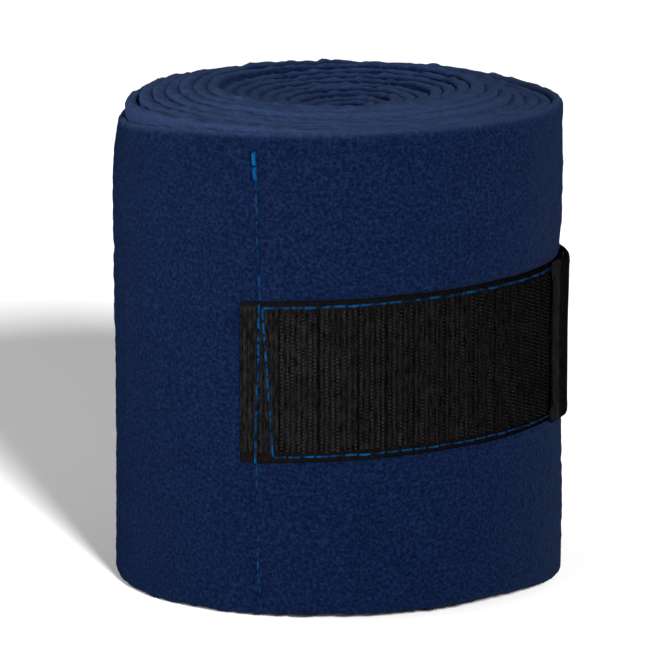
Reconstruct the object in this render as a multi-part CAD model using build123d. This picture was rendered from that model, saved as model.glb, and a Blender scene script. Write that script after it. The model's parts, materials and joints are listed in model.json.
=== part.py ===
from build123d import *
import math
import os

# Rolled fleece leg bandage with a hook-and-loop closure. Millimetres and degrees.
# The roll stands on end: +Z runs up its axis, -Y is the front, where the hook patch is, and +X is the
# right side. The origin is the middle of the bounding box at floor level.
#
# The strip is wound as a spiral of half turns struck from two centres, so every face is a true cylinder
# and the half turns meet without a kink. A place along the strip is its winding angle: 0 at the outer cut
# end, growing inwards through every turn. Bearings are measured round the roll from the front towards
# the right side.

# Fleece strip
strip_width = 120.0
strip_length = 3000.0
fleece_thickness = 3.06
turn_gap = 0.3
roll_radius = 56.4  # outer face of the front half turn
tail_end_bearing = -195.0  # the outer cut end, behind the right side
first_break_bearing = -80.0  # where the outermost half turn hands over to the front one

# The outer end that unwinds
tail_hinge_count = 5
tail_flexible_angle = 55.0
strap_root_angle = 30.0  # the last stretch of the tail, with the strap sewn under it

# Hook patch and loop strap
tape_width = 40.0
tape_middle_height = 60.1
tape_tilt = 3.1
patch_start = 169.9
patch_end = 293.0
patch_thickness = 1.0
patch_proud = 0.1
strap_clearance = 0.4
strap_thickness = 1.2
strap_free_end = 262.3
strap_turnover = 295.0  # the breaking bearing between the two spiral centres
strap_back_segments = 4
strap_front_segments = 2

# Stitching
thread_radius = 0.3
stitch_pitch = 3.4
stitch_length = 2.6
row_inset = 1.5  # from a tape edge to its row of stitches
strap_row_inset = 3.0
cross_seam_place = 174.4
cross_seam_low = 1.5
cross_seam_high = 109.3
back_tack_high = 116.0
back_tack_pitch = 2.2
back_tack_lean = 0.6
patch_left_row_top = 175.9
patch_left_row_bottom = 178.7

centre_step = (fleece_thickness + turn_gap) / 2
first_break = first_break_bearing - tail_end_bearing
outermost_radius = roll_radius + centre_step
tail_flexible_start = tail_flexible_angle + strap_root_angle
strap_root_start = 360.0  # one whole turn below the cut end
row_inset_angle = math.degrees(row_inset / roll_radius)


def direction(bearing):
    """Unit vector pointing outwards at a bearing."""
    angle = math.radians(bearing - 90)
    return Vector(math.cos(angle), math.sin(angle))


# The front half turns are struck from front_centre, the back ones from back_centre.
front_centre = Vector(0, 0)
back_centre = direction(first_break_bearing + 180) * centre_step


def half_turn(place):
    """Number of the half turn that holds a winding place, counted inwards from the outer cut end."""
    if place < first_break:
        return 0
    return 1 + int((place - first_break) // 180)


def centre_of(turn):
    return front_centre if turn % 2 else back_centre


def face_radius(turn):
    """Radius of the outer face of a half turn, about its own centre."""
    return outermost_radius - turn * centre_step


def point_at(place, offset, turn=None):
    """Point beside a winding place, offset outwards from the strip's outer face."""
    turn = half_turn(place) if turn is None else turn
    reach = face_radius(turn) + offset
    return centre_of(turn) + direction(tail_end_bearing + place) * reach


def breaks_between(start, end):
    """The winding places from start to end, with each handover between half turns in between."""
    places = [start]
    crossing = first_break
    while crossing < end:
        if crossing > start:
            places.append(crossing)
        crossing += 180
    return places + [end]


def arcs(start, end, offset):
    """Arcs that follow the spiral from start to end at an offset from its outer face."""
    places = breaks_between(start, end)
    made = []
    for low, high in zip(places, places[1:]):
        middle = (low + high) / 2
        turn = half_turn(middle)
        ends = [point_at(place, offset, turn) for place in (low, middle, high)]
        made.append(Edge.make_three_point_arc(*ends))
    return made


def plate(start, end, inner, outer):
    """Flat outline of a stretch of the spiral between two offsets from the strip's outer face."""
    outer_arcs = arcs(start, end, outer)
    inner_arcs = arcs(start, end, inner)
    first = Edge.make_line(inner_arcs[0] @ 0, outer_arcs[0] @ 0)
    last = Edge.make_line(inner_arcs[-1] @ 1, outer_arcs[-1] @ 1)
    return Face(Wire([first] + outer_arcs + [last] + inner_arcs))


def upright(outline):
    """The outline raised over the whole width of the strip."""
    return extrude(outline, strip_width, dir=(0, 0, 1))


def tape_height(point):
    """Height of the tape's middle line at a point: the tape is cut by a plane that rises to the right."""
    return tape_middle_height + point.X * math.tan(math.radians(tape_tilt))


def tape(start, end, inner, outer):
    """A stretch of tape bent round the roll, with its long edges in two parallel, slightly tilted planes."""
    slab_side = 4 * roll_radius
    slab = Pos(0, 0, tape_middle_height) * Rot(0, -tape_tilt, 0) * Box(slab_side, slab_side, tape_width)
    return upright(plate(start, end, inner, outer)) & slab


def winding_of_length(length):
    """Winding place where the strip's middle surface has used up a length, counted from the outer end."""
    place = 0.0
    following = first_break
    while True:
        radius = face_radius(half_turn(place)) - fleece_thickness / 2
        stretch = math.radians(following - place) * radius
        if stretch > length:
            return place + math.degrees(length / radius)
        length -= stretch
        place = following
        following += 180


def stitch(start, end):
    """One stitch: a short straight length of thread."""
    return Solid.make_cylinder(thread_radius, (end - start).length, Plane(start, z_dir=end - start))


def lifted(point, height):
    return Vector(point.X, point.Y, height)


def row_along(start, end, offset, rise):
    """Stitches along the tape between two winding places, at a rise above the tape's middle line."""
    pitch_angle = math.degrees(stitch_pitch / roll_radius)
    length_angle = math.degrees(stitch_length / roll_radius)
    count = int((end - start) / pitch_angle)
    made = []
    for number in range(count):
        place = start + (number + 0.5) * (end - start) / count
        ends = []
        for shift in (-length_angle / 2, length_angle / 2):
            point = point_at(place + shift, offset, half_turn(place))
            ends.append(lifted(point, tape_height(point) + rise))
        made.append(stitch(*ends))
    return made


def row_up(bottom_place, top_place, low, high, offset, pitch=stitch_pitch):
    """Stitches that climb the roll from low to high, leaning from one winding place to another."""
    count = max(1, round((high - low) / pitch))
    step = (high - low) / count
    made = []
    for number in range(count):
        ends = []
        for along in (-stitch_length / 2, stitch_length / 2):
            height = low + (number + 0.5) * step + along * step / stitch_pitch
            share = (height - low) / (high - low)
            place = bottom_place + share * (top_place - bottom_place)
            ends.append(lifted(point_at(place, offset), height))
        made.append(stitch(*ends))
    return made


def fleece_nodes(winding_end):
    """The strip: its wound turns, and the outer end in stretches that bend at the hinges."""
    patch_bed = tape(patch_start, patch_end, patch_proud - patch_thickness, patch_proud)
    wound = upright(plate(tail_flexible_start, winding_end, -fleece_thickness, 0))
    nodes = {"fleece_wound_turns": wound - patch_bed}
    step = tail_flexible_angle / (tail_hinge_count - 1)
    for number in range(1, tail_hinge_count):
        end = tail_flexible_start - (number - 1) * step
        stretch = plate(end - step, end, -fleece_thickness, 0)
        nodes[f"fleece_tail_{number}"] = upright(stretch)
    tail_end = upright(plate(0, strap_root_angle, -fleece_thickness, 0))
    nodes["fleece_tail_end"] = tail_end - strap_root()
    return nodes


def strap_root():
    """The sewn end of the strap, between the tail and the turn below it."""
    outer = strap_clearance + strap_thickness
    return tape(strap_root_start, strap_root_start + strap_root_angle, strap_clearance, outer)


def strap_nodes():
    """The strap: its sewn root, then the free stretches, which bend away from the roll one after another."""
    outer = strap_clearance + strap_thickness
    back_step = (strap_root_start - strap_turnover) / strap_back_segments
    front_step = (strap_turnover - strap_free_end) / strap_front_segments
    nodes = {"strap_root": strap_root()}
    place = strap_root_start
    for number in range(1, strap_back_segments + strap_front_segments + 1):
        step = back_step if number <= strap_back_segments else front_step
        nodes[f"strap_{number}"] = tape(place - step, place, strap_clearance, outer)
        place -= step
    return nodes


def patch_nodes():
    """The hook patch and the box of lockstitches that holds it: needle thread outside, bobbin thread inside."""
    sunk = patch_proud - thread_radius
    inside = thread_radius - fleece_thickness
    rise = tape_width / 2 - row_inset
    right_row = patch_end - row_inset_angle
    left_middle = tape_height(point_at(patch_left_row_top, 0))
    right_middle = tape_height(point_at(right_row, 0))
    left_row = (patch_left_row_bottom, patch_left_row_top, left_middle - rise, left_middle + rise)
    right_column = (right_row, right_row, right_middle - rise, right_middle + rise)
    bobbin = row_along(patch_left_row_top, right_row, inside, rise)
    bobbin += row_along(patch_left_row_bottom, right_row, inside, -rise)
    bobbin += row_up(*left_row, inside)
    return {
        "hook_patch": tape(patch_start, patch_end, patch_proud - patch_thickness, patch_proud),
        "patch_top_thread": row_along(patch_left_row_top, right_row, sunk, rise),
        "patch_bottom_thread": row_along(patch_left_row_bottom, right_row, sunk, -rise),
        "patch_left_thread": row_up(*left_row, sunk),
        "patch_right_thread": row_up(*right_column, sunk),
        "patch_bobbin_thread": bobbin,
    }


def cross_seam_nodes():
    """The row of stitches over the whole width of the strip, which also holds the start of the patch."""
    sunk = -thread_radius
    inside = thread_radius - fleece_thickness
    place = cross_seam_place
    return {
        "cross_seam_needle_thread": row_up(place, place, cross_seam_low, cross_seam_high, sunk),
        "cross_seam_bobbin_thread": row_up(place, place, cross_seam_low, cross_seam_high, inside),
        "cross_seam_back_tack": row_up(
            place, place - back_tack_lean, cross_seam_high, back_tack_high, sunk, back_tack_pitch
        ),
    }


def strap_seam_nodes():
    """The box of stitches through the tail and the strap's root."""
    outside = -thread_radius
    inside = strap_clearance + thread_radius
    rise = tape_width / 2 - strap_row_inset
    low_place = row_inset_angle
    high_place = strap_root_angle - row_inset_angle
    needle = row_along(low_place, high_place, outside, rise)
    needle += row_along(low_place, high_place, outside, -rise)
    bobbin = row_along(strap_root_start + low_place, strap_root_start + high_place, inside, rise)
    bobbin += row_along(strap_root_start + low_place, strap_root_start + high_place, inside, -rise)
    for place in (low_place, high_place):
        middle = tape_height(point_at(place, 0))
        low = middle - rise + stitch_pitch / 2
        high = middle + rise - stitch_pitch / 2
        needle += row_up(place, place, low, high, outside)
        under = strap_root_start + place
        bobbin += row_up(under, under, low, high, inside)
    return {"strap_seam_needle_thread": needle, "strap_seam_bobbin_thread": bobbin}


def as_shape(made):
    return Compound(made) if isinstance(made, list) else made


def build():
    """Every node by name, moved so that the bounding box stands over the origin."""
    nodes = {}
    for group in (
        fleece_nodes(winding_of_length(strip_length)),
        strap_nodes(),
        patch_nodes(),
        cross_seam_nodes(),
        strap_seam_nodes(),
    ):
        for name, made in group.items():
            nodes[name] = as_shape(made)
    middle = Compound(list(nodes.values())).bounding_box().center()
    return {name: Pos(-middle.X, -middle.Y, 0) * shape for name, shape in nodes.items()}, middle


nodes, bounding_middle = build()
os.makedirs("parts", exist_ok=True)
for name, shape in nodes.items():
    export_step(shape, f"parts/{name}.step")
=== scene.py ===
import json
import math

import bpy
import numpy as np
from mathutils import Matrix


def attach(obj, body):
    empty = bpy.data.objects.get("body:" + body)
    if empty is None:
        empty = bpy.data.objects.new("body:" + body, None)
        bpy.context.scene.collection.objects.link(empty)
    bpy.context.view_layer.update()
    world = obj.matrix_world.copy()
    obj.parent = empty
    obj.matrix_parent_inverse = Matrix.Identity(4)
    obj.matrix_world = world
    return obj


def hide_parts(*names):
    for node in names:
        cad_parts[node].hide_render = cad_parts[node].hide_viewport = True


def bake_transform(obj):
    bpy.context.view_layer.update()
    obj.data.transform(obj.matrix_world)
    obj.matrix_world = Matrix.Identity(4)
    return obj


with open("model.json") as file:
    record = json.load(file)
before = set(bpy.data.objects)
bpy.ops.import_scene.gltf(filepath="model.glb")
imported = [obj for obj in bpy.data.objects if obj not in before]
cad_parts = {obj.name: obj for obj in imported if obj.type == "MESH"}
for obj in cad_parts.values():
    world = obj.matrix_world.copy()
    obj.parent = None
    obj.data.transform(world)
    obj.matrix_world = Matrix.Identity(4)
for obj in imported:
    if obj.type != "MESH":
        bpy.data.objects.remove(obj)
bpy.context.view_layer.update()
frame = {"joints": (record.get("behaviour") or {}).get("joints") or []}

# A rolled fleece leg bandage, closed with a hook patch and a loop strap. Metres and degrees.
# A place along the strip is its winding angle: 0 at the outer cut end, growing inwards. Bearings are
# measured round the roll from the front (-Y) towards the right side (+X).

# Fleece strip
strip_width = 0.120
fleece_thickness = 0.00306
turn_gap = 0.0003
roll_radius = 0.0564  # outer face of the front half turn
tail_end_bearing = -195.0  # the outer cut end, behind the right side
first_break = 115.0  # where the outermost half turn hands over to the front one
half_turns = 34
middle_end = 2750.0  # where the middle turns hand over to the core turns
core_end = 5840.0

# The outer end that unwinds
tail_hinges = 5
tail_flexible_start = 85.0
tail_step = 13.75
overlap_past_hinge = 7.0  # how far a piece goes on past its hinge, towards the roll

# Hook patch and loop strap
tape_width = 0.040
tape_middle_height = 0.0601
tape_tilt = 3.1
patch_start = 169.9
patch_end = 293.0
patch_thickness = 0.0010
patch_proud = 0.0001
strap_clearance = 0.0004
strap_thickness = 0.0012
strap_free_end = 262.3
strap_turnover = 295.0
strap_root_start = 360.0
strap_root_end = 390.0
strap_back_segments = 4
strap_front_segments = 2

# Stitching
thread_radius = 0.00033
stitch_pitch = 0.0034
stitch_length = 0.0032
row_inset = 0.0015
strap_row_inset = 0.003
seam_place = 174.4
seam_low = 0.0015
seam_high = 0.1093
tack_high = 0.1160
tack_pitch = 0.0036
tack_lean = 0.5
patch_left_row_top = 175.9
patch_left_row_bottom = 178.7

centre_step = (fleece_thickness + turn_gap) / 2
outermost_radius = roll_radius + centre_step
row_inset_angle = math.degrees(row_inset / roll_radius)
on_tape = patch_proud + 0.00002
inner_face = -fleece_thickness + 0.0002
hinges = {joint["name"]: joint["pos_m"] for joint in frame["joints"]}


def ray(bearing):
    """Unit vectors, in plan, that point outwards at bearings."""
    angle = np.radians(np.asarray(bearing, float) - 90)
    return np.stack([np.cos(angle), np.sin(angle)], axis=-1)


first_hinge = np.array(hinges["tail_bend_1"][:2])
back_centre = first_hinge - outermost_radius * ray(tail_end_bearing + tail_flexible_start)
front_centre = back_centre - centre_step * ray(tail_end_bearing + first_break + 180)


# ---------------------------------------------------------------- places along the strip

break_places = np.concatenate([[0.0], first_break + 180 * np.arange(half_turns)])
break_radii = outermost_radius - centre_step * np.arange(half_turns)
break_runs = np.concatenate([[0.0], np.cumsum(np.radians(np.diff(break_places)) * break_radii)])


def run_of(place):
    """Length along the strip's outer face, from the outer cut end to winding places."""
    return np.interp(place, break_places, break_runs)


def place_of(run):
    return np.interp(run, break_runs, break_places)


def half_turn(place):
    return np.where(place < first_break, 0, 1 + np.floor((place - first_break) / 180)).astype(int)


def spiral(place, offset, turn=None):
    """Plan points beside winding places, offset outwards from the strip's outer face."""
    turn = half_turn(place) if turn is None else np.full(np.shape(place), turn)
    centre = np.where((turn % 2 == 1)[..., None], front_centre, back_centre)
    reach = outermost_radius - turn * centre_step + offset
    return centre + ray(tail_end_bearing + place) * np.asarray(reach)[..., None]


def tape_height(plan):
    return tape_middle_height + (plan[..., 0] - front_centre[0]) * math.tan(math.radians(tape_tilt))


def bump(distance, width):
    """A smooth hump: 1 at no distance, near 0 past twice the width."""
    return np.exp(-((distance / width) ** 2))


def ramp(value, low, high):
    """0 below low, 1 above high, smooth between."""
    share = np.clip((value - low) / (high - low), 0, 1)
    return share * share * (3 - 2 * share)


def turned(bearing):
    """Bearings brought into -180 to 180."""
    return (np.asarray(bearing) + 180) % 360 - 180


def soft_noise(u, v, cell, seed):
    """Smooth random relief, -1 to 1, with lumps the size of a cell."""
    table = np.random.default_rng(seed).random((256, 256)) * 2 - 1
    x, y = np.broadcast_arrays(np.asarray(u) / cell, np.asarray(v) / cell)
    left, low = np.floor(x).astype(int), np.floor(y).astype(int)
    across, up = x - left, y - low
    across, up = across * across * (3 - 2 * across), up * up * (3 - 2 * up)
    corner = [[table[(left + i) & 255, (low + j) & 255] for j in (0, 1)] for i in (0, 1)]
    bottom = corner[0][0] * (1 - across) + corner[1][0] * across
    top = corner[0][1] * (1 - across) + corner[1][1] * across
    return bottom * (1 - up) + top * up


# ---------------------------------------------------------------- meshes

def new_object(name, verts, faces, materials, face_slots=None, place=None, normals=None, mask=None):
    mesh = bpy.data.meshes.new(name)
    mesh.from_pydata([tuple(v) for v in verts], [], [tuple(f) for f in faces])
    for material in materials:
        mesh.materials.append(material)
    if face_slots is not None:
        mesh.polygons.foreach_set("material_index", np.asarray(face_slots, np.int32))
    mesh.polygons.foreach_set("use_smooth", np.ones(len(mesh.polygons), bool))
    if place is not None:
        attribute = mesh.attributes.new("cloth_place", "FLOAT_VECTOR", "POINT")
        attribute.data.foreach_set("vector", np.asarray(place, np.float32).ravel())
    if mask is not None:
        attribute = mesh.attributes.new("mask", "FLOAT", "POINT")
        attribute.data.foreach_set("value", np.asarray(mask, np.float32).ravel())
    mesh.update()
    if normals is not None:
        mesh.normals_split_custom_set_from_vertices([tuple(n) for n in normals])
    made = bpy.data.objects.new(name, mesh)
    bpy.context.scene.collection.objects.link(made)
    return made


def grid_normals(points):
    """Outward normals of a tube of stations (first axis) by points round the section (second axis)."""
    along = np.gradient(points, axis=0)
    around = np.roll(points, -1, axis=1) - np.roll(points, 1, axis=1)
    normals = np.cross(along, around)
    return normals / np.maximum(np.linalg.norm(normals, axis=2, keepdims=True), 1e-12)


def tube_quads(stations, around):
    i, j = np.meshgrid(np.arange(stations - 1), np.arange(around), indexing="ij")
    k = (j + 1) % around
    quads = np.stack([i * around + j, (i + 1) * around + j, (i + 1) * around + k, i * around + k], -1)
    return quads.reshape(-1, 4).tolist()


def tube_object(name, points, place, materials, slots=None, spare=(0, 0), mask=None):
    """A closed mesh from a grid of stations by points round the section.

    spare is how many stations at each end only shape the normals, so that pieces of one cloth meet
    without a visible line."""
    normals = grid_normals(points)
    keep = slice(spare[0], points.shape[0] - spare[1])
    points, place, normals = points[keep], place[keep], normals[keep]
    stations, around = points.shape[:2]
    quads = tube_quads(stations, around)
    face_slots = [0] * len(quads) if slots is None else slots[keep][:-1].ravel().tolist()
    last = (stations - 1) * around
    for a in range(around // 2):
        b, c, d = a + 1, around - 2 - a, around - 1 - a
        if b > c:
            break
        start = [a, b, c, d] if b < c else [a, b, d]
        quads += [start, [last + corner for corner in reversed(start)]]
        face_slots += [face_slots[0], face_slots[-1]]
    flat = (-1, 3)
    points, place, normals = points.reshape(flat), place.reshape(flat), normals.reshape(flat)
    mask = None if mask is None else mask[keep]
    return new_object(name, points, quads, materials, face_slots, place, normals, mask)


def joined(name, parts, materials):
    """One object from many small closed tubes, each (points, place) of stations by points."""
    verts, faces, places, first = [], [], [], 0
    for points, place in parts:
        stations, around = points.shape[:2]
        verts.append(points.reshape(-1, 3))
        places.append(place.reshape(-1, 3))
        faces += [[corner + first for corner in quad] for quad in tube_quads(stations, around)]
        faces.append([first + corner for corner in range(around)])
        faces.append([first + (stations - 1) * around + corner for corner in reversed(range(around))])
        first += stations * around
    return new_object(name, np.concatenate(verts), faces, materials, None, np.concatenate(places))


# ---------------------------------------------------------------- materials

white = (1.0, 1.0, 1.0)

# the colour sockets of a Mix node, by number because its other sockets have the same names
mix_first = 6
mix_second = 7
mix_result = 2


def grey(value):
    return (value, value, value)


def node_material(name, build):
    material = bpy.data.materials.new(name)
    material.use_nodes = True
    tree = material.node_tree
    build(tree, tree.nodes["Principled BSDF"])
    return material


def add(tree, kind, **values):
    """A node with its settings and unlinked inputs set by name."""
    node = tree.nodes.new(kind)
    for key, value in values.items():
        if key in node.inputs:
            node.inputs[key].default_value = value
        else:
            setattr(node, key, value)
    return node


def cloth_coordinates(tree):
    """Place in the cloth itself: along, height and depth. It stays with the cloth as it bends."""
    return add(tree, "ShaderNodeAttribute", attribute_name="cloth_place").outputs["Vector"]


def masked(tree):
    """The mesh's own mask: where a painted sheen goes on the cut edge of the fleece, or where painted shade
    goes in the grooves between the ribs of the tape.
    """
    return add(tree, "ShaderNodeAttribute", attribute_name="mask").outputs["Fac"]


def share_along(tree, vector, axis, start, end):
    """0 to 1 along one axis of the cloth coordinates, from a start to an end."""
    split = add(tree, "ShaderNodeSeparateXYZ")
    tree.links.new(vector, split.inputs[0])
    share = add(tree, "ShaderNodeMapRange")
    tree.links.new(split.outputs[axis], share.inputs["Value"])
    share.inputs["From Min"].default_value = start
    share.inputs["From Max"].default_value = end
    return share.outputs["Result"]


def noise(tree, vector, size, detail=2.0, roughness=0.55):
    """Noise whose lumps are about size metres."""
    node = add(tree, "ShaderNodeTexNoise", Scale=1 / size, Detail=detail, Roughness=roughness)
    tree.links.new(vector, node.inputs["Vector"])
    return node.outputs["Fac"]


def graded(tree, value, stops):
    """Colours along a value, from (position, colour) stops."""
    node = add(tree, "ShaderNodeValToRGB")
    elements = node.color_ramp.elements
    while len(elements) < len(stops):
        elements.new(0.5)
    for element, (position, colour) in zip(elements, stops):
        element.position = position
        element.color = (*colour, 1.0)
    tree.links.new(value, node.inputs["Fac"])
    return node.outputs["Color"]


def mixed(tree, blend, first):
    """A Mix node for colours, with its first colour linked."""
    node = add(tree, "ShaderNodeMix", data_type="RGBA", blend_type=blend)
    tree.links.new(first, node.inputs[mix_first])
    return node


def multiply(tree, first, second):
    node = mixed(tree, "MULTIPLY", first)
    node.inputs["Factor"].default_value = 1.0
    tree.links.new(second, node.inputs[mix_second])
    return node.outputs[mix_result]


def surface(tree, shader, colour, roughness, specular):
    tree.links.new(colour, shader.inputs["Base Color"])
    shader.inputs["Roughness"].default_value = roughness
    shader.inputs["Specular IOR Level"].default_value = specular


def relief(tree, shader, layers):
    """Bump from (value, height in metres) layers, one over another."""
    previous = None
    for value, height in layers:
        node = add(tree, "ShaderNodeBump", Strength=1.0, Distance=height)
        tree.links.new(value, node.inputs["Height"])
        if previous is not None:
            tree.links.new(previous, node.inputs["Normal"])
        previous = node.outputs["Normal"]
    tree.links.new(previous, shader.inputs["Normal"])


def fleece_look(tree, shader):
    """Brushed navy fleece: a short nap of fine tufts with painted shade in the hollows between them, darker
    near the floor, and a painted sheen added on the cut edges.
    """
    vector = cloth_coordinates(tree)
    tufts = noise(tree, vector, 0.0009, 3.0, 0.7)
    fibres = noise(tree, vector, 0.00035, 2.0, 0.6)
    patches = noise(tree, vector, 0.011, 2.0, 0.5)
    height = share_along(tree, vector, "Y", 0.0, strip_width)
    # the same noise that raises the tufts also colours them: the tone varies at random and is darkest in the
    # hollows, a painted shade between the tufts; the finer fibres likewise
    colour = graded(tree, tufts, [(0.36, fleece_dark), (0.50, fleece_middle), (0.66, fleece_light)])
    fine = graded(tree, fibres, [(0.25, (0.72, 0.74, 0.80)), (0.75, white)])
    broad = graded(tree, patches, [(0.3, (0.88, 0.89, 0.92)), (0.7, white)])
    # the colour darkens towards the floor, by height on the cloth
    lower_darkening = graded(tree, height, [(0.0, (0.76, 0.82, 0.86)), (0.8, white)])
    colour = multiply(tree, multiply(tree, multiply(tree, colour, fine), broad), lower_darkening)
    # painted sheen: a pale bluish colour added on the cut edges, where the light glances off the top
    painted_sheen = mixed(tree, "ADD", colour)
    tree.links.new(masked(tree), painted_sheen.inputs["Factor"])
    painted_sheen.inputs[mix_second].default_value = (*cut_edge_painted_sheen, 1.0)
    surface(tree, shader, painted_sheen.outputs[mix_result], 0.95, 0.0)
    shader.inputs["Sheen Weight"].default_value = 0.022
    shader.inputs["Sheen Roughness"].default_value = 0.42
    shader.inputs["Sheen Tint"].default_value = (0.35, 0.52, 1.0, 1.0)
    relief(tree, shader, [(tufts, 0.0006), (fibres, 0.00022)])


def woven_material(
    name, dark, light, rough, thread_size, depth, painted_light_falloff=False, painted_groove_shade=False, specular=0.0
):
    """Closely woven synthetic tape: fine crossing threads with slight streaks.

    A tape may have a painted falloff of light, palest at the patch's left end and darker towards the strap,
    and painted shade between its ribs."""

    def build(tree, shader):
        vector = cloth_coordinates(tree)
        stretch = add(tree, "ShaderNodeVectorMath", operation="MULTIPLY")
        tree.links.new(vector, stretch.inputs[0])
        stretch.inputs[1].default_value = (1.0, 0.18, 1.0)
        streaks = noise(tree, stretch.outputs["Vector"], thread_size, 2.0, 0.6)
        grain = noise(tree, vector, thread_size * 0.8, 2.0, 0.6)
        colour = graded(tree, streaks, [(0.3, dark), (0.7, light)])
        colour = multiply(tree, colour, graded(tree, grain, [(0.3, grey(0.55)), (0.7, white)]))
        # painted falloff of light: the tape is palest at the patch's left end and darker towards the strap
        if painted_light_falloff:
            along = share_along(tree, vector, "X", *patch_ends)
            colour = multiply(tree, colour, graded(tree, along, [(0.0, white), (1.0, grey(0.09))]))
        # painted shade in the grooves between the ribs
        if painted_groove_shade:
            colour = multiply(tree, colour, graded(tree, masked(tree), [(0.0, white), (1.0, grey(0.34))]))
        surface(tree, shader, colour, rough, specular)
        relief(tree, shader, [(streaks, depth), (grain, depth)])

    return node_material(name, build)


def thread_material(name, dark, light):
    """Blue spun polyester thread, with a painted shade that darkens it towards the strap.

    Along a thread the cloth coordinate is the winding place, in degrees."""

    def build(tree, shader):
        vector = cloth_coordinates(tree)
        fibres = noise(tree, vector, 0.00018, 2.0, 0.6)
        shade = noise(tree, vector, 0.0034, 2.0, 0.6)
        # painted shade: the thread darkens towards the strap, as the light falls off to the right
        along = share_along(tree, vector, "X", patch_left_row_bottom + 20, strap_free_end)
        colour = graded(tree, shade, [(0.38, dark), (0.64, light)])
        fine = graded(tree, fibres, [(0.3, (0.55, 0.6, 0.65)), (0.7, white)])
        painted_light_falloff = graded(tree, along, [(0.0, white), (1.0, grey(0.42))])
        colour = multiply(tree, multiply(tree, colour, fine), painted_light_falloff)
        surface(tree, shader, colour, 0.5, 0.015)
        relief(tree, shader, [(fibres, 0.00008)])

    return node_material(name, build)


patch_ends = (float(run_of(patch_start)), float(run_of(patch_end)))

fleece_dark = (0.0010, 0.0029, 0.0120)
fleece_middle = (0.0022, 0.0055, 0.0192)
fleece_light = (0.0047, 0.0106, 0.0325)
# a painted sheen, added to the fleece's colour on its cut edges
cut_edge_painted_sheen = (0.0085, 0.0145, 0.0310)
fleece = node_material("fleece_nap", fleece_look)
hook_ground = woven_material(
    "hook_ground", (0.0014, 0.0013, 0.0013), (0.0110, 0.0100, 0.0102),
    rough=0.38, thread_size=0.0005, depth=0.00008, painted_light_falloff=True, painted_groove_shade=True,
)
hook_nylon = woven_material(
    "hook_nylon", (0.0030, 0.0027, 0.0028), (0.0270, 0.0243, 0.0252),
    rough=0.28, thread_size=0.0016, depth=0.00002, painted_light_falloff=True, specular=0.012,
)
selvedge = woven_material(
    "selvedge", (0.0018, 0.0014, 0.0013), (0.0052, 0.0042, 0.0040),
    rough=0.4, thread_size=0.0004, depth=0.00012, painted_light_falloff=True,
)
strap_back = woven_material(
    "strap_back", (0.0006, 0.0006, 0.0007), (0.0044, 0.0044, 0.0050),
    rough=0.5, thread_size=0.0005, depth=0.00012,
)
strap_seal = woven_material(
    "strap_seal", (0.0028, 0.0026, 0.0028), (0.0090, 0.0084, 0.0090),
    rough=0.5, thread_size=0.0006, depth=0.00008,
)
strap_loops = woven_material(
    "strap_loops", (0.0008, 0.0008, 0.0009), (0.0045, 0.0045, 0.0050),
    rough=0.9, thread_size=0.0007, depth=0.0004,
)
thread = thread_material("thread_ply", (0.0002, 0.0034, 0.0110), (0.0003, 0.0300, 0.0920))
tack_thread = thread_material("tack_ply", (0.0003, 0.020, 0.062), (0.0005, 0.046, 0.135))
matted_thread = thread_material("matted_thread_ply", (0.0006, 0.0034, 0.0130), (0.0010, 0.0170, 0.0600))


# ---------------------------------------------------------------- fleece strip

rim_points = 10
rim_rise = 0.0018
back_rise = 0.0006
rim_round = 0.0008
outer_rim_round = 0.0020
rim_puff = 0.00032
crest_rise = 0.0030
crest_radius = 0.034
crest_width = 0.0080
core_drop = 0.0030
core_width = 0.013
outer_skew = 0.033  # how steeply the outermost turn's upper edge rises to the right
skew_limit = 0.026
right_back_bearing = 114.0
right_back_spread = 38.0
right_back_drop = 0.0015
left_back_bearing = -112.0
left_back_spread = 27.0
left_back_rise = 0.0013
left_bearing = -88.0  # where the outermost turn has slipped down
left_spread = 34.0
left_droop = 0.0030
second_turn_spread = 21.0
second_turn_drop = 0.0019
cut_end_spread = 16.0
cut_end_drop = 0.0011
cut_reach = 0.0013  # how far in from the cut end the strip is rounded off
cut_stations = np.array([0.0, 0.0001, 0.0003, 0.0006, 0.0010])
seam_depth = 0.0006
seam_width = 0.0010
cinch_above = 0.0011
cinch_above_reach = 0.007
cinch_below = 0.0007
cinch_below_reach = 0.0035
strap_swell = 0.00026
bed_slack = 0.0002
nap_height = 0.00016
# weight, size of the lumps and seed of each layer of the nap
nap_layers = ((0.9, 0.0060, 1), (0.8, 0.0024, 2), (0.9, 0.0013, 3))


def turns_in(place):
    """How many turns lie outside a winding place, 0 on the outermost one."""
    return np.maximum(place - tail_flexible_start, 0) / 360


def outermost_share(place):
    """1 on the outermost turn, falling to 0 over the start of the second one."""
    return 1 - ramp(turns_in(place), 0.55, 1.12)


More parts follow.
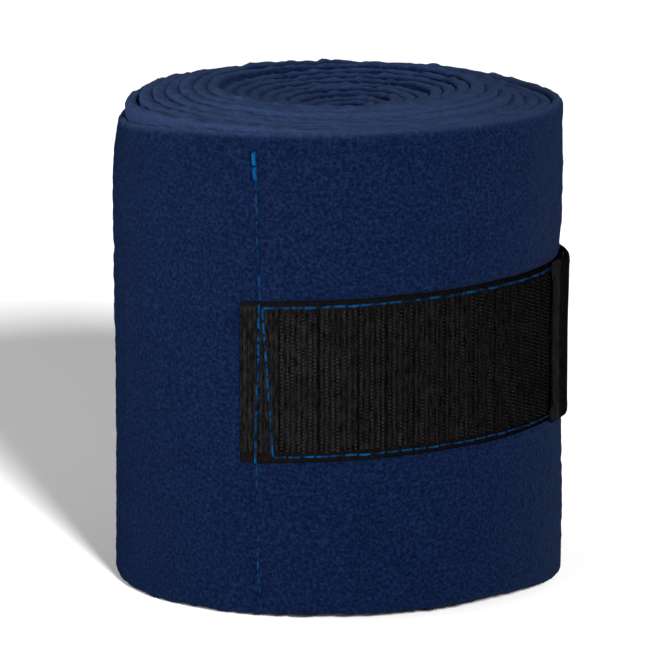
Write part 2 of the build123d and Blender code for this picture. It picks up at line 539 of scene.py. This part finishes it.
def strip_top(place):
    """Height of the strip's upper edge: a crest round a dished core, and a skewed outer turn."""
    plan = spiral(place, -fleece_thickness / 2)
    radius = np.linalg.norm(plan - front_centre, axis=-1)
    bearing = turned(tail_end_bearing + place)
    outer = outermost_share(place)
    height = strip_width + rim_rise + back_rise * (plan[..., 1] - front_centre[1]) / roll_radius
    height = height + crest_rise * bump(radius - crest_radius, crest_width)
    height = height - core_drop * bump(radius, core_width)
    right = plan[..., 0] - front_centre[0]
    height = height + outer_skew * np.minimum(right, skew_limit) * outer
    outer_part = ramp(radius, 0.030, 0.048)
    right_back = bump(turned(bearing - right_back_bearing), right_back_spread)
    height = height - right_back_drop * right_back * outer_part
    left_back = bump(turned(bearing - left_back_bearing), left_back_spread)
    height = height + left_back_rise * left_back * outer_part * (1 - outer)
    from_left = turned(bearing - left_bearing)
    height = height - left_droop * bump(from_left, left_spread) * outer
    second_turn = bump(turns_in(place) - 1, 0.5)
    height = height - second_turn_drop * bump(from_left, second_turn_spread) * second_turn
    height = height - cut_end_drop * bump(place, cut_end_spread)
    waves = soft_noise(run_of(place), 0 * place, 0.045, 11) * 0.0005
    steps = soft_noise(run_of(place), 0 * place + 0.5, 0.016, 12) * 0.00025
    return height + waves + steps


# how the outermost turn's lower edge climbs from left to right, and settles again at the far right
bottom_rights = [-0.057, -0.020, 0.0, 0.020, 0.035, 0.041, 0.049, 0.054, 0.058]
bottom_climbs = [0.0, 0.0008, 0.0014, 0.0017, 0.0022, 0.0023, 0.0016, 0.0007, 0.0005]


def strip_bottom(place):
    """Height of the strip's lower edge: it rests on the floor, but the outer turns climb to the right."""
    plan = spiral(place, -fleece_thickness / 2)
    outer = 1 - ramp(turns_in(place), 0.9, 2.2)
    climb = np.interp(plan[..., 0] - front_centre[0], bottom_rights, bottom_climbs)
    waves = (1 + soft_noise(run_of(place), 0 * place, 0.03, 13)) * 0.00015
    return climb * outer + waves


def patch_edge_distance(place, plan, height):
    """Distance inside the edge of the hook patch, negative outside it."""
    along = np.minimum(run_of(place) - run_of(patch_start), run_of(patch_end) - run_of(place))
    across = tape_width / 2 - np.abs(height - tape_height(plan))
    return np.minimum(along, across)


def seam_line(height):
    """Run of the cross seam at a height: nearly straight, with a slight wander."""
    heights = [0.002, 0.006, 0.0125, 0.022, 0.034, 0.047, 0.055, 0.064, 0.079, 0.088, 0.096, 0.109, 0.116]
    shifts = [0.8, 0.6, -0.3, 0.3, -0.4, -0.3, 0.1, 0.5, 0.65, 0.1, -0.2, -0.3, -0.3]
    wander = np.interp(height, heights, shifts) / 1000
    return run_of(seam_place) + wander


def cinch(place, height):
    """How far the tape and the strap pull the fleece in round them. Under the strap it swells instead."""
    bearing = turned(tail_end_bearing + place)
    from_middle = height - tape_height(spiral(place, 0.0))
    above = from_middle - tape_width / 2
    below = -from_middle - tape_width / 2
    tight = 0.22 + 0.78 * bump(turned(bearing - 100), 48)
    wound = ramp(bearing, -34, -18) * ramp(-bearing, -172, -150)
    pull = cinch_above * np.exp(-np.maximum(above, 0) / cinch_above_reach) * (above > -0.004)
    pull = pull + cinch_below * np.exp(-np.maximum(below, 0) / cinch_below_reach) * (below > -0.004)
    banded = ramp(-np.maximum(above, below), 0.0, 0.0016)
    under_strap = ramp(place, patch_end, patch_end + 6)
    under_strap = under_strap * ramp(-place, -strap_root_start, -strap_root_start + 10)
    return pull * tight * wound * (1 - banded) - strap_swell * banded * under_strap


def outer_face_relief(place, height):
    """How far the strip's outer face stands out or sinks on the outermost turn."""
    run = run_of(place)
    layers = [weight * soft_noise(run, height, cell, seed) for weight, cell, seed in nap_layers]
    rise = nap_height * sum(layers)
    rise = rise + 0.00035 * soft_noise(run, height, 0.024, 4)
    rise = rise - seam_depth * bump(run - seam_line(height), seam_width) * (height < tack_high + 0.001)
    outermost = (place >= 90) & (place < 460)
    return np.where(outermost, rise - cinch(place, height), rise)


def patch_bed(place, plan, height, rise):
    """The relief with the hollow that the hook patch is sewn into, and the fleece swelling at its edges."""
    inside = patch_edge_distance(place, plan, height)
    swell = 0.00025 * bump(inside + 0.0012, 0.0011)
    bed = -(patch_thickness - patch_proud) - bed_slack
    sunk = ramp(inside, -0.0006, 0.0003)
    return (rise + swell) * (1 - sunk) + bed * sunk


def fleece_section(outer_rows, inner_rows):
    """Points round the strip's section: share of the height, and the direction that each point faces."""
    rim = np.linspace(0, math.pi, rim_points + 2)[1:-1]
    outer, inner = np.linspace(0, 1, outer_rows), np.linspace(1, 0, inner_rows)
    share = np.concatenate([outer, np.ones(rim_points), inner, np.zeros(rim_points)])
    out = np.concatenate([np.ones(outer_rows), np.cos(rim), -np.ones(inner_rows), -np.cos(rim)])
    up = np.concatenate([np.zeros(outer_rows), np.sin(rim), np.zeros(inner_rows), -np.sin(rim)])
    return share, out, up


def fleece_runs(start, end, step, spare, cut_end):
    """Runs of a stretch's stations: even steps, closer ones at a cut end, and the spare ones beyond."""
    first, last = run_of(start), run_of(end)
    count = max(2, int(math.ceil((last - first) / step)))
    runs = np.linspace(first, last, count + 1)
    gap = runs[1] - runs[0]
    if cut_end:
        runs = np.concatenate([first + cut_stations, runs[runs > first + cut_reach]])
    if spare[0]:
        runs = np.concatenate([[runs[0] - gap], runs])
    if spare[1]:
        runs = np.concatenate([runs, [runs[-1] + gap]])
    return runs


def outer_turn_offset(place, run, height, high, out, half, puff):
    """Offsets of the outermost turn's surface, with the patch's bed on its outer face."""
    face, behind = np.clip(out, 0, 1), np.clip(-out, 0, 1)
    rise = patch_bed(place, spiral(place, 0.0), height, outer_face_relief(place, height)) * face
    inner = nap_height * soft_noise(run, height, 0.003, 21) * behind
    inward = behind * puff * (run > run_of(tail_flexible_start + overlap_past_hinge))
    lean = left_lean(place, height, high)
    return -fleece_thickness / 2 + half * out + rise - inner - inward + lean


def inner_turn_offset(place, run, height, high, out, half, puff):
    """Offsets of an inner turn's surface."""
    lumps = nap_height * (
        soft_noise(run, height, 0.0035, 31) + soft_noise(run, height + 0.1 * out, 0.0016, 32)
    )
    return -fleece_thickness / 2 + (half + puff + lumps * 0.8) * out + left_lean(place, height, high)


def fleece_piece(name, start, end, step, outer_rows, inner_rows, detailed, spare=(1, 1), cut_end=False):
    """A stretch of the strip between two winding places, as a closed mesh."""
    runs = fleece_runs(start, end, step, spare, cut_end)
    places = place_of(runs)[:, None]
    share, out, up = (row[None, :] for row in fleece_section(outer_rows, inner_rows))
    half = fleece_thickness / 2 + np.zeros_like(places)
    if cut_end:
        closeness = np.clip((runs - run_of(start)) / cut_reach, 0, 1)[:, None]
        half = half * (0.35 + 0.65 * np.sqrt(1 - (1 - closeness) ** 2))
    rim_height = outer_rim_round if detailed else rim_round
    low = strip_bottom(places) + rim_height
    high = strip_top(places) - rim_height
    height = low + share * (high - low) + up * rim_height
    run = runs[:, None] + 0 * height
    place = places + 0 * height
    puff = rim_puff * ramp(height - high, -0.004, 0.0)
    offset_of = outer_turn_offset if detailed else inner_turn_offset
    offset = offset_of(place, run, height, high, out, half, puff)
    tuft_height = 0.00022 if detailed else 0.00034
    tufts = tuft_height * soft_noise(run, out * 0.002, 0.0015, 41)
    tufts = tufts + tuft_height * soft_noise(run, out * 0.002, 0.0032, 42)
    height = np.maximum(height + tufts * np.abs(up), 0.00005)
    points = np.concatenate([spiral(place, offset), height[..., None]], axis=2)
    cloth_place = np.stack([run, height, offset], axis=-1)
    # where the painted sheen goes: the cut edge, and on inner turns the top of their outer face
    cut_edge = np.clip(up, 0, 1) ** 2 + 0 * height
    if not detailed:
        cut_edge = np.where(out > 0, ramp(height - high, -0.0016, 0.0003), cut_edge)
    piece = tube_object(name, points, cloth_place, [fleece], spare=spare, mask=cut_edge)
    return piece


def left_lean(place, height, high):
    """On the left the outermost turn leans in over its upper stretch, and the inner ones hardly do."""
    bearing = turned(tail_end_bearing + place)
    reach = np.interp(place, [280, 420], [0.012, 0.0055])
    near_top = np.clip((height - (high - reach)) / reach, 0, 1)
    amount = np.interp(place, [60, 280, 420, 470, 640, 800], [1.1, 1.1, -0.05, -0.05, 0.1, 0]) / 1000
    return -amount * near_top**2 * bump(turned(bearing - left_bearing), 40)


def make_fleece():
    outer_end = tail_flexible_start + overlap_past_hinge + 360
    pieces = [
        fleece_piece("fleece_core_turns", middle_end, core_end, 0.0013, 12, 12, False, (1, 0)),
        fleece_piece("fleece_middle_turns", outer_end, middle_end, 0.0013, 10, 10, False),
        fleece_piece(
            "fleece_outer_turn", tail_flexible_start + overlap_past_hinge, outer_end, 0.00072, 166, 8, True
        ),
    ]
    for piece in pieces:
        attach(piece, "roll")
        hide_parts("fleece_wound_turns")
    high = tail_flexible_start + overlap_past_hinge
    for number in range(1, tail_hinges + 1):
        hinge = tail_flexible_start - (number - 1) * tail_step
        low = hinge - tail_step + overlap_past_hinge if number < tail_hinges else 0.0
        piece = fleece_piece(
            f"fleece_bend_{number}", low, high, 0.00072, 166, 60, True, cut_end=number == tail_hinges
        )
        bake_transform(piece)
        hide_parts(f"fleece_tail_{number}" if number < tail_hinges else "fleece_tail_end")
        high = low


# ---------------------------------------------------------------- tapes

rib_pitch = 0.00138
rib_height = 0.00034
selvedge_width = 0.0016
sealed_length = 0.0040
corner_radius = 0.0022
strap_shift = 1.0  # keeps the strap's cloth coordinates clear of the patch's


def tape_section(rows):
    """Points round a tape's section: share across its width, and the direction that each point faces."""
    edge = np.linspace(0, math.pi, 5)[1:-1]
    across = np.linspace(-1, 1, rows)
    share = np.concatenate([across, np.ones(3), across[::-1], -np.ones(3)])
    out = np.concatenate([np.ones(rows), np.cos(edge), -np.ones(rows), -np.cos(edge)])
    side = np.concatenate([np.zeros(rows), np.sin(edge), np.zeros(rows), -np.sin(edge)])
    return share[None, :], out[None, :], side[None, :]


def rib_relief(run):
    """Ribs across the hook tape, with deeper gaps at uneven intervals."""
    phase = run / rib_pitch
    ribs = rib_height * (np.abs(np.sin(math.pi * phase)) ** 0.6 - 0.6)
    rng = np.random.default_rng(5)
    gaps = np.cumsum(rng.uniform(0.0062, 0.0112, 16)) + run_of(patch_start)
    for gap in np.round(gaps / rib_pitch) * rib_pitch:
        ribs = ribs - 0.00022 * bump(run - gap, 0.0004)
    return ribs


def make_patch():
    runs = np.linspace(run_of(patch_start), run_of(patch_end), 700)
    share, out, side = tape_section(50)
    places = place_of(runs)[:, None] + 0 * share
    run = runs[:, None] + 0 * share
    thickness = patch_thickness * 0.92
    middle = patch_proud - patch_thickness / 2
    half_width = tape_width / 2 - 0.0004
    from_edge = half_width * (1 - np.abs(share)) + 0 * run
    woven = ramp(from_edge, selvedge_width * 0.6, selvedge_width * 1.2)
    rise = rib_relief(run) * woven + 0.00009 * soft_noise(run, share * half_width, 0.0007, 51)
    offset = middle + out * thickness / 2 + rise * (out > 0.9)
    plan = spiral(places, offset)
    wave = 0.00018 * soft_noise(run, 0 * run + np.sign(share), 0.006, 52)
    height = tape_height(spiral(places, 0.0)) + share * (half_width + wave) + side * 0.0003
    points = np.concatenate([plan, height[..., None]], axis=2)
    cloth_place = np.stack([run, height, offset], axis=-1)
    edge_rows = from_edge < selvedge_width
    # where painted shade goes: deepest in the grooves between the ribs
    groove = np.clip(0.5 - rise / rib_height, 0, 1) * woven
    looks = [hook_ground, selvedge]
    patch = tube_object("hook_tape", points, cloth_place, looks, edge_rows.astype(int), mask=groove)
    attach(patch, "roll")
    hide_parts("hook_patch")


hook_spacing = 0.00092
hook_margin = 0.0006
hook_stem = [(0.0, -0.1), (0.0, 0.28), (0.07, 0.44), (0.19, 0.50), (0.31, 0.43), (0.34, 0.30)]
hook_stem = np.array(hook_stem) * 0.001
hook_radii = 0.00013 * np.array([1.25, 1.0, 1.0, 1.0, 0.95, 0.8])[:, None]
hook_angles = np.linspace(0, 2 * math.pi, 6)[:-1]


def hook_tube(run, rise, lean, size, way):
    """One hook as a tube. Its plane stands on the tape and leans a little from the strip's direction."""
    bend = np.gradient(hook_stem, axis=0)
    bend /= np.linalg.norm(bend, axis=1, keepdims=True)
    inwards = hook_radii * np.cos(hook_angles)
    across = hook_radii * np.sin(hook_angles) * way
    forward = hook_stem[:, :1] * size * way - inwards * bend[:, 1:] * way
    lift = hook_stem[:, 1:] * size + inwards * bend[:, :1]
    runs = run + forward * math.cos(lean) - across * math.sin(lean)
    sideways = forward * math.sin(lean) + across * math.cos(lean)
    place = place_of(runs)
    offset = patch_proud + 0.00002 + lift
    height = tape_height(spiral(place, 0.0)) + rise + sideways
    points = np.concatenate([spiral(place, offset), height[..., None]], axis=2)
    return points, np.stack([runs, height, offset], -1)


def make_hooks():
    """Small bent nylon hooks on the ribs, in staggered rows across the tape."""
    rng = np.random.default_rng(6)
    first = math.ceil(run_of(patch_left_row_bottom + 1.2) / rib_pitch) + 0.5
    last = math.floor(run_of(patch_end - 2.2) / rib_pitch)
    reach = tape_width / 2 - selvedge_width - hook_margin
    count = int(2 * reach / hook_spacing)
    parts = []
    for row, rib in enumerate(np.arange(first, last)):
        odd = row % 2
        for number in range(count):
            rise = -reach + (number + 0.5 + 0.5 * odd) * hook_spacing + rng.uniform(-0.0001, 0.0001)
            run = rib * rib_pitch + rng.uniform(-0.00012, 0.00012)
            lean = rng.uniform(-0.35, 0.35)
            size = rng.uniform(0.85, 1.12)
            parts.append(hook_tube(run, rise, lean, size, 1 if odd else -1))
    hooks = joined("hook_field", parts, [hook_nylon])
    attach(hooks, "roll")


def strap_plan(place, offset):
    """Plan points of the strap: on the second turn at the back, on the front half turn from the turnover."""
    back = place >= strap_turnover
    low = spiral(np.minimum(place, strap_turnover), offset, 1)
    high = spiral(np.maximum(place, strap_turnover), offset, 2)
    beyond = place >= strap_turnover + 180
    far = spiral(place, offset, 3)
    return np.where(beyond[..., None], far, np.where(back[..., None], high, low))


def strap_run(place):
    """Length along the strap from its free end."""
    return np.radians(place - strap_free_end) * (roll_radius + strap_clearance)


def strap_runs(start, end, spare):
    """Runs of a stretch's stations, closer ones at the free end, and the spare ones beyond."""
    count = int(math.ceil((strap_run(end) - strap_run(start)) / 0.0006))
    runs = np.linspace(strap_run(start), strap_run(end), count + 1)
    gap = runs[1] - runs[0]
    if spare[0]:
        runs = np.concatenate([[runs[0] - gap], runs])
    else:
        runs = np.concatenate([[0.0, 0.00012, 0.0003], runs[runs > 0.0004]])
    if spare[1]:
        runs = np.concatenate([runs, [runs[-1] + gap]])
    return runs


def strap_piece(name, start, end, spare):
    """A stretch of the strap: woven back, looped front, and a thin heat-sealed free end."""
    runs = strap_runs(start, end, spare)
    share, out, side = tape_section(58)
    run = runs[:, None] + 0 * share
    place = strap_free_end + np.degrees(runs / (roll_radius + strap_clearance))[:, None] + 0 * share
    sealed = ramp(-run, -sealed_length, -sealed_length + 0.0008)
    inside_corner = np.maximum(corner_radius - run, 0)
    rounding = corner_radius - np.sqrt(np.maximum(corner_radius**2 - inside_corner**2, 0))
    reach = share * (tape_width / 2 - rounding)
    thickness = strap_thickness * (0.94 - 0.30 * sealed)
    middle = strap_clearance + strap_thickness / 2 - 0.00008 * sealed
    weave = 0.00005 * np.sin(run * 2 * math.pi / 0.0011 + reach * 2 * math.pi / 0.0022) * (1 - sealed)
    loops = 0.00016 * soft_noise(run, reach, 0.0009, 61) + 0.00010 * soft_noise(run, reach, 0.0018, 62)
    edge_band = 0.00010 * bump(tape_width / 2 - 0.0012 - np.abs(reach), 0.0008)
    outer = weave + edge_band + 0.00025 * soft_noise(run, reach, 0.018, 63)
    offset = middle + out * thickness / 2 + np.where(out > 0, outer * out, loops * (1 - sealed) * out)
    slip = 0.0011 * ramp(place - strap_free_end, 5, 20) * (1 + 0.6 * np.maximum(share, 0))
    height = tape_height(strap_plan(place, 0.0)) - slip + reach + side * 0.0004
    points = np.concatenate([strap_plan(place, offset), height[..., None]], axis=2)
    cloth_place = np.stack([run + strap_shift, height, offset], axis=-1)
    slots = np.where(out + 0 * run > -0.5, 0, 1)
    slots = np.where((sealed > 0.5) & (slots == 0), 2, slots)
    piece = tube_object(name, points, cloth_place, [strap_back, strap_loops, strap_seal], slots, spare)
    return piece


def make_strap():
    back_step = (strap_root_start - strap_turnover) / strap_back_segments
    front_step = (strap_turnover - strap_free_end) / strap_front_segments
    steps = [back_step] * strap_back_segments + [front_step] * strap_front_segments
    high, hinge = strap_root_end, strap_root_start
    for number, step in enumerate(steps, 1):
        final = number == len(steps)
        low = strap_free_end if final else hinge - step / 2
        spare = (0 if final else 1, 0 if number == 1 else 1)
        piece = strap_piece(f"strap_bend_{number}", low, high, spare)
        # the bend ends short of the piece's ends, so neighbours meet where neither bends
        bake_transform(piece)
        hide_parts(f"strap_{number}")
        if number == 1:
            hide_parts("strap_root")
        high, hinge = low, hinge - step


# ---------------------------------------------------------------- stitching

def stitch_tube(start, end, radius, bulge, dive, plan_of, seed):
    """One stitch of three-ply thread between two (place, height, offset) ends: it arches and dives in."""
    rng = np.random.default_rng(seed)
    stations, around = 15, 12
    share = np.linspace(0, 1, stations)
    arch = np.sqrt(np.maximum(1 - (2 * share - 1) ** 4, 0))
    run_angle = np.radians(end[0] - start[0]) * roll_radius
    length = math.hypot(run_angle, end[1] - start[1])
    forward = np.array([run_angle, end[1] - start[1]]) / max(length, 1e-9)
    sideways = np.array([-forward[1], forward[0]])
    offset = (start[2] + end[2]) / 2 + bulge * rng.uniform(0.6, 1.3) * arch - dive * (1 - arch)
    slack = 0.00010 * rng.uniform(-1, 1) * np.sin(math.pi * share)
    angles = np.linspace(0, 2 * math.pi, around, endpoint=False)[None, :]
    twist = 2 * math.pi * share[:, None] * length / 0.0016
    lobes = radius * (0.86 + 0.16 * np.abs(np.cos(1.5 * (angles + twist / 1.5))))
    lobes = lobes * (0.75 + 0.25 * np.sqrt(arch))[:, None]
    out = np.cos(angles) * lobes
    side = np.sin(angles) * lobes
    along = share[:, None] * length
    run = along * forward[0] + (slack[:, None] + side) * sideways[0]
    rise = along * forward[1] + (slack[:, None] + side) * sideways[1]
    place = start[0] + np.degrees(run / roll_radius)
    height = start[1] + rise
    depth = offset[:, None] + out
    points = np.concatenate([plan_of(place, depth), height[..., None]], axis=2)
    return points, np.stack([run + start[0], rise + start[1], depth], -1)


def row_along(start, end, offset, rise, plan_of, pitch=stitch_pitch):
    """Ends of the stitches that follow the tape between two places, at a rise above its middle line."""
    count = int(math.radians(end - start) * roll_radius / pitch)
    share = np.degrees(stitch_length / roll_radius) / 2
    made = []
    for number in range(count):
        middle = start + (number + 0.5) * (end - start) / count
        ends = [middle - share, middle + share]
        heights = [float(tape_height(plan_of(np.array(place), 0.0))) + rise for place in ends]
        made.append(((ends[0], heights[0], offset), (ends[1], heights[1], offset)))
    return made


def row_up(place_at, low, high, offset, pitch=stitch_pitch):
    """Ends of the stitches that climb the roll along a line that gives the place at each height."""
    count = max(1, round((high - low) / pitch))
    step = (high - low) / count
    half = stitch_length / stitch_pitch / 2
    made = []
    for number in range(count):
        heights = [low + (number + 0.5 - half) * step, low + (number + 0.5 + half) * step]
        made.append(tuple((float(place_at(height)), height, offset) for height in heights))
    return made


def sewn(name, stitches, body, node, bulge, dive, plan_of=spiral, radius=thread_radius, look=thread):
    parts = [
        stitch_tube(start, end, radius, bulge, dive, plan_of, 100 + number)
        for number, (start, end) in enumerate(stitches)
    ]
    piece = joined(name, parts, [look])
    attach(piece, body)
    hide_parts(node)


def sunk(stitches):
    """Stitches pulled deeper into the tape towards the strap, where the fleece below is softer."""
    made = []
    for ends in stitches:
        depths = [0.00028 * float(ramp(place, 228, 280)) for place, _, _ in ends]
        made.append(tuple((*end[:2], end[2] - depth) for end, depth in zip(ends, depths)))
    return made


def seam_place_at(height):
    return place_of(seam_line(np.array(height)))


def tape_middle_at(place):
    return float(tape_height(spiral(np.array(place), 0.0)))


def at_offset(stitches, offset):
    """The same stitches at another depth."""
    return [tuple((place, height, offset) for place, height, _ in ends) for ends in stitches]


def make_patch_stitches():
    rise = tape_width / 2 - row_inset
    right_row = patch_end - row_inset_angle
    left_middle = tape_middle_at(patch_left_row_top)
    right_middle = tape_middle_at(right_row)
    low, high = left_middle - rise, left_middle + rise

    def left_row(height):
        return np.interp(height, [low, high], [patch_left_row_bottom, patch_left_row_top])

    top = sunk(row_along(patch_left_row_top, right_row, on_tape, rise, spiral))
    bottom = sunk(row_along(patch_left_row_bottom, right_row, on_tape, -rise, spiral))
    left = row_up(left_row, low, high, on_tape)
    right = row_up(lambda height: right_row, right_middle - rise, right_middle + rise, on_tape)
    sewn("top_row_stitches", top, "roll", "patch_top_thread", 0.00016, 0.0004)
    sewn("bottom_row_stitches", bottom, "roll", "patch_bottom_thread", 0.00016, 0.0004, radius=0.00029)
    sewn("left_row_stitches", left, "roll", "patch_left_thread", 0.00014, 0.0004, radius=0.00028)
    sewn("right_row_stitches", right, "roll", "patch_right_thread", 0.00005, 0.0004, radius=0.00026)
    under = at_offset(top + bottom + left, inner_face)
    sewn("patch_bobbin_stitches", under, "roll", "patch_bobbin_thread", -0.0001, -0.0003, radius=0.00026)


def make_seam_stitches():
    """The seam over the strip's whole width. Where it crosses the patch it lies on the tape."""
    left_middle = tape_middle_at(patch_left_row_top)
    seam = row_up(seam_place_at, seam_low, seam_high, 0.0)
    on_fleece, over_tape = [], []
    for ends in seam:
        middle = (ends[0][1] + ends[1][1]) / 2
        if abs(middle - left_middle) < tape_width / 2:
            over_tape += at_offset([ends], on_tape + 0.00006)
        else:
            on_fleece += at_offset([ends], -0.00086)
    seam_node = "cross_seam_needle_thread"
    sewn("seam_stitches", on_fleece, "roll", seam_node, 0.00024, 0.0005, look=matted_thread)
    sewn("seam_stitches_on_tape", over_tape, "roll", seam_node, 0.00024, 0.0005)
    under = at_offset(seam, inner_face)
    sewn("seam_bobbin_stitches", under, "roll", "cross_seam_bobbin_thread", -0.0001, -0.0003, radius=0.00026)


def make_back_tack():
    def tack_line(height):
        return seam_place_at(seam_high) - tack_lean * (height - seam_high) / (tack_high - seam_high)

    tack = row_up(tack_line, seam_high - 0.0006, tack_high, -0.00008, tack_pitch)
    node = "cross_seam_back_tack"
    sewn("back_tack_stitches", tack, "roll", node, 0.00034, 0.0005, radius=0.00054, look=tack_thread)


def make_strap_stitches():
    """The box of stitches through the strip's outer end and the strap's root below it."""
    rise = tape_width / 2 - strap_row_inset
    low_place = row_inset_angle
    high_place = strap_root_end - strap_root_start - row_inset_angle
    box = row_along(low_place, high_place, -0.00045, rise, spiral)
    box += row_along(low_place, high_place, -0.00045, -rise, spiral)
    for place in (low_place, high_place):
        middle = tape_middle_at(place)
        low, high = middle - rise + stitch_pitch / 2, middle + rise - stitch_pitch / 2
        box += row_up(lambda height, place=place: place, low, high, -0.00045)
    sewn("strap_box_stitches", box, "tail_end", "strap_seam_needle_thread", 0.00026, 0.0005)
    beneath = [
        tuple((place + strap_root_start, height, strap_clearance + 0.0001) for place, height, _ in ends)
        for ends in box
    ]
    sewn(
        "strap_box_bobbin_stitches", beneath, "tail_end", "strap_seam_bobbin_thread", -0.0001, -0.0003,
        strap_plan, 0.00026,
    )


# ---------------------------------------------------------------- stage, light and camera

def floor_look(tree, shader):
    mottle = add(tree, "ShaderNodeTexNoise", Scale=3.0, Detail=2.0)
    colour = graded(tree, mottle.outputs["Fac"], [(0.3, grey(0.90)), (0.7, grey(0.92))])
    surface(tree, shader, colour, 0.9, 0.1)


def wall_look(tree, shader):
    floor_look(tree, shader)
    shader.inputs["Emission Color"].default_value = (1.0, 1.0, 1.0, 1.0)
    shader.inputs["Emission Strength"].default_value = 0.5


def make_floor():
    """A round paper sheet that turns up into a low wall, so that a low view ends in paper too."""
    flat_radii = [0.01, 0.5, 1.5, 3.0, 4.5, 6.0, 6.7]
    turn_up = 0.3
    wall_radius = flat_radii[-1] + turn_up
    wall_height = 0.7
    bend = np.radians(np.linspace(15, 90, 6))
    radii = np.concatenate([flat_radii, flat_radii[-1] + turn_up * np.sin(bend), [wall_radius]])
    heights = np.concatenate([np.zeros(len(flat_radii)), turn_up * (1 - np.cos(bend)), [wall_height]])
    steps = 96
    circle = radii[:, None, None] * ray(np.arange(steps) * 360 / steps)[None]
    rises = np.repeat(heights[:, None, None] - 0.0001, steps, axis=1)
    points = np.concatenate([circle, rises], axis=2)
    quads = tube_quads(len(radii), steps) + [list(range(steps))]
    last_flat = len(flat_radii) - 1
    slots = [int(number // steps >= last_flat) for number in range(len(quads) - 1)] + [0]
    looks = [node_material("floor_paper", floor_look), node_material("wall_paper", wall_look)]
    floor = new_object("floor", points.reshape(-1, 3), quads, looks, slots)


def area_light(name, bearing, elevation, distance, size, power):
    """A round softbox that looks at the roll's middle from a bearing and an elevation."""
    data = bpy.data.lights.new(name, "AREA")
    data.shape = "DISK"
    data.size = size
    data.energy = power
    light = bpy.data.objects.new(name, data)
    bpy.context.scene.collection.objects.link(light)
    flat = ray(bearing) * math.cos(math.radians(elevation)) * distance
    light.location = (flat[0], flat[1], strip_width / 2 + math.sin(math.radians(elevation)) * distance)
    light.rotation_euler = (math.radians(90 - elevation), 0, math.radians(bearing))


def make_light():
    world = bpy.data.worlds.new("studio")
    bpy.context.scene.world = world
    world.use_nodes = True
    background = world.node_tree.nodes["Background"]
    background.inputs["Color"].default_value = (1.0, 1.0, 1.0, 1.0)
    background.inputs["Strength"].default_value = 0.19
    sun = bpy.data.lights.new("key", "SUN")
    sun.energy = 8.4
    sun.angle = math.radians(8)
    key = bpy.data.objects.new("key", sun)
    bpy.context.scene.collection.objects.link(key)
    key_elevation, key_bearing = 21, 16
    key.rotation_euler = (math.radians(90 - key_elevation), 0, math.radians(key_bearing))
    area_light("softbox_left", -84, 1.5, 1.9, 1.1, 97)
    area_light("softbox_front", -32, 3, 1.9, 0.7, 16)


def make_camera():
    distance, height, pitch = 1.500, 0.3511, 10.968
    camera = bpy.data.cameras.new("camera")
    camera.lens = 324.4
    camera.sensor_width = 36
    camera.clip_end = 50
    seen = bpy.data.objects.new("camera", camera)
    bpy.context.scene.collection.objects.link(seen)
    seen.location = (front_centre[0] - 0.0006, front_centre[1] - distance, height)
    seen.rotation_euler = (math.radians(90 - pitch), 0, 0)
    bpy.context.scene.camera = seen


make_camera()
make_floor()
make_light()
make_fleece()
make_patch()
make_hooks()
make_strap()
make_patch_stitches()
make_seam_stitches()
make_back_tack()
make_strap_stitches()

bpy.context.scene.view_settings.view_transform = "Standard"
bpy.context.view_layer.update()
